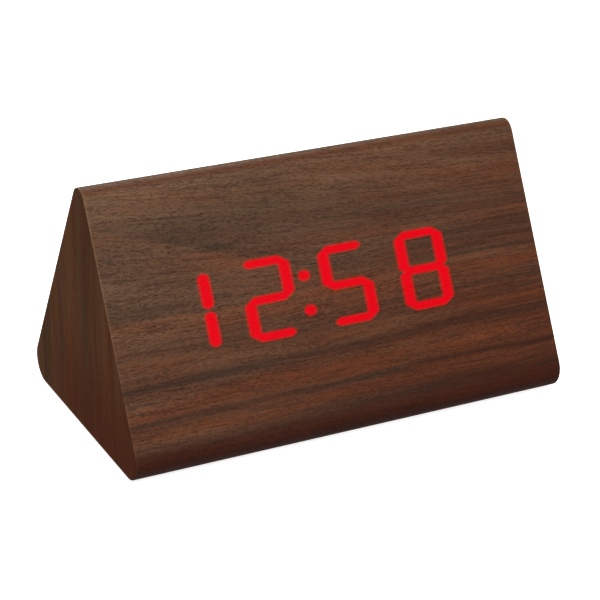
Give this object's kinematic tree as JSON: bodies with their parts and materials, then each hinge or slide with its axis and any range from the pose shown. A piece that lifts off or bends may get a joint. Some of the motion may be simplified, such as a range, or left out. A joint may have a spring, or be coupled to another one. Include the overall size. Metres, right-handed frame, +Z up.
{
  "type": "digital alarm clock",
  "caption": "Triangular prism desk alarm clock in dark walnut grain, with red figures lit through the front slope, a rear button panel and a battery bay underneath.",
  "frame": {"origin": "middle of the clock's outline, on the plane under its rubber feet", "axes": "+Z up, the numerals face -Y, +X to the right of someone who reads the numerals"},
  "size_m": [0.15, 0.084, 0.0818],
  "materials": {
    "grain_film": "satin printed wood grain",
    "fibreboard": "matte sawn",
    "black_plastic": "fine moulded texture",
    "button_plastic": "smooth moulded",
    "foot_rubber": "matte",
    "screw_steel": "zinc plated",
    "contact_nickel": "nickel plated",
    "cell_jacket": "printed foil jacket",
    "capacitor_sleeve": "shrink sleeve",
    "lead_red": "wire insulation",
    "board_green": "solder mask",
    "white_plastic": "moulded",
    "led_resin": "clear resin",
    "diffuser_film": "frosted sheet",
    "ribbon_grey": "flat cable",
    "lit_red": "lit from behind"
  },
  "bodies": {
    "clock": {"grain_wrap": "grain_film", "left_end_film": "grain_film", "right_end_film": "grain_film", "front_board": "fibreboard", "back_board": "fibreboard", "base_frame": "fibreboard", "left_end_board": "fibreboard", "right_end_board": "fibreboard", "base_cover": "black_plastic", "control_panel": "black_plastic", "dc_inlet": "black_plastic", "switch_bodies": "black_plastic", "buzzer": "black_plastic", "coin_holder": "black_plastic", "controller_chip": "black_plastic", "temperature_bead": "black_plastic", "rubber_feet": "foot_rubber", "base_screws": "screw_steel", "display_screws": "screw_steel", "panel_screws": "screw_steel", "board_screws": "screw_steel", "contact_plates": "contact_nickel", "contact_springs": "contact_nickel", "inlet_contact": "contact_nickel", "microphone": "contact_nickel", "crystal": "contact_nickel", "coin_cell": "contact_nickel", "aaa_cells": "cell_jacket", "capacitor": "capacitor_sleeve", "battery_leads": "lead_red", "display_board": "board_green", "main_board": "board_green", "light_box": "white_plastic", "ribbon_plugs": "white_plastic", "segment_leds": "led_resin", "diffuser_sheet": "diffuser_film", "display_ribbon": "ribbon_grey", "hour_tens": "lit_red", "hour_units": "lit_red", "colon_dots": "lit_red", "minute_tens": "lit_red", "minute_units": "lit_red"},
    "battery_door": {"battery_door": "black_plastic"},
    "set_button": {"set_button": "button_plastic", "set_plunger": "white_plastic"},
    "up_button": {"up_button": "button_plastic", "up_plunger": "white_plastic"},
    "down_button": {"down_button": "button_plastic", "down_plunger": "white_plastic"}
  },
  "joints": [
    {"name": "door_hinge", "type": "hinge", "parent": "clock", "child": "battery_door", "pos_m": [0, 0.0226, 0.0016], "axis": [1, 0, 0], "range_deg": [0, 75]},
    {"name": "set_press", "type": "slide", "parent": "clock", "child": "set_button", "axis": [0, -0.8798, -0.4753], "range_m": [0, 0.0004], "stiffness_N_per_m": 2500},
    {"name": "up_press", "type": "slide", "parent": "clock", "child": "up_button", "axis": [0, -0.8798, -0.4753], "range_m": [0, 0.0004], "stiffness_N_per_m": 2500},
    {"name": "down_press", "type": "slide", "parent": "clock", "child": "down_button", "axis": [0, -0.8798, -0.4753], "range_m": [0, 0.0004], "stiffness_N_per_m": 2500}
  ]
}
